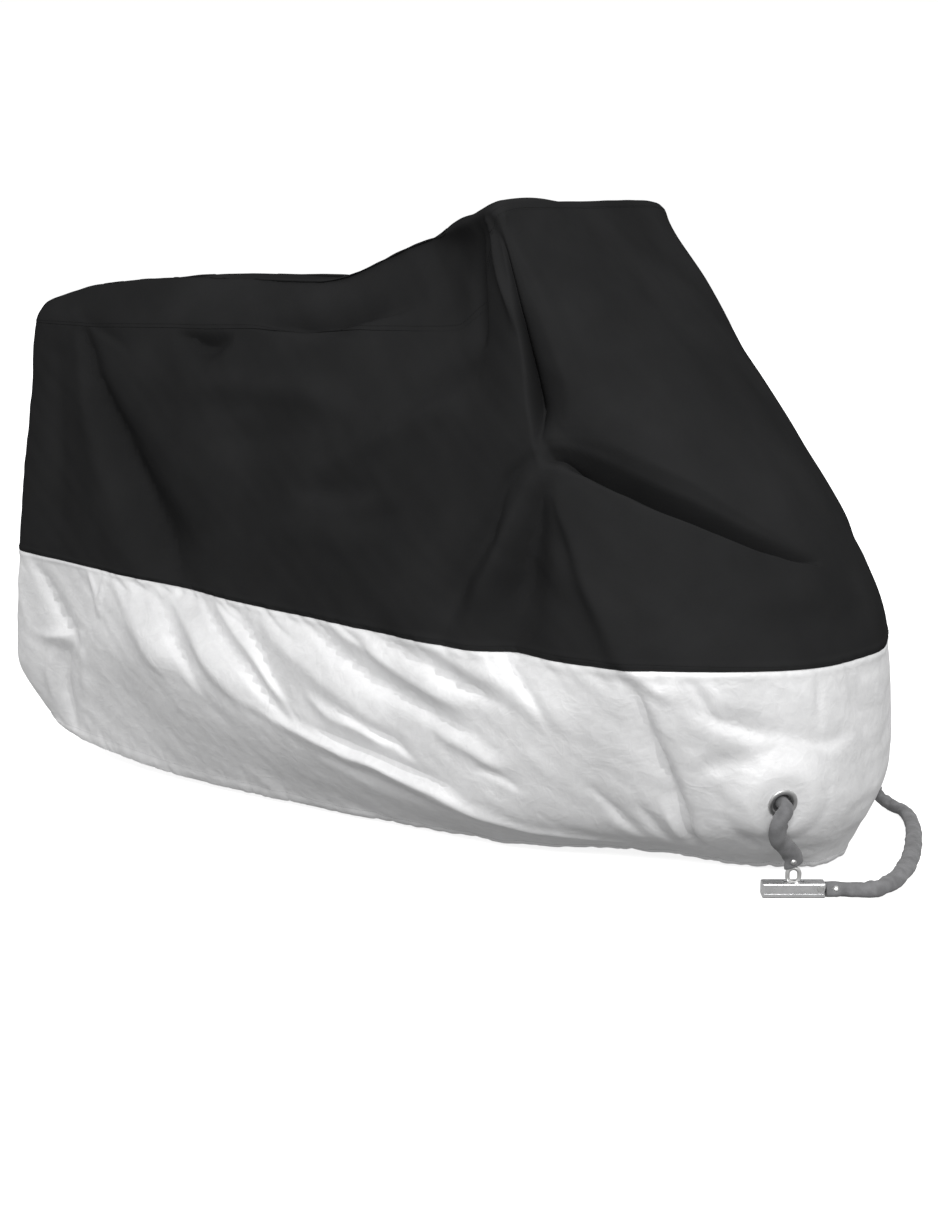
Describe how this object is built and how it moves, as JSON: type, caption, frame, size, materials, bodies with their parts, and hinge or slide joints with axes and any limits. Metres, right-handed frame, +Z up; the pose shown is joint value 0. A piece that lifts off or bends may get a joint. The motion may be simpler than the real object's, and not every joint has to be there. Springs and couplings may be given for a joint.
{
  "type": "motorcycle cover",
  "caption": "Hollow cloth cover shaped to a parked motorcycle, dark above a silver skirt, with a drawn-in hem and front eyelets held by a sleeved lock chain.",
  "frame": {"origin": "on the ground under the middle of the cover, halfway between tail and nose and on the centre plane", "axes": "+X towards the front wheel, +Y to the motorcycle's left, +Z up"},
  "size_m": [2.0619, 0.8773, 1.231],
  "materials": {
    "black_cloth": "coated woven polyester, dull with a faint sheen",
    "silver_cloth": "silver coated woven polyester, soft sheen",
    "eyelet_metal": "plated, lightly worn",
    "lock_steel": "plated steel",
    "sleeve_cloth": "woven webbing, matte"
  },
  "bodies": {
    "root": {"top_panel": "black_cloth", "side_panel": "black_cloth", "skirt": "silver_cloth", "eyelet_right": "eyelet_metal", "eyelet_left": "eyelet_metal", "lock_body": "lock_steel", "lock_plug": "lock_steel", "chain_link": "lock_steel", "chain_sleeve": "sleeve_cloth", "rivet_near": "lock_steel", "rivet_far": "lock_steel"}
  },
  "joints": []
}
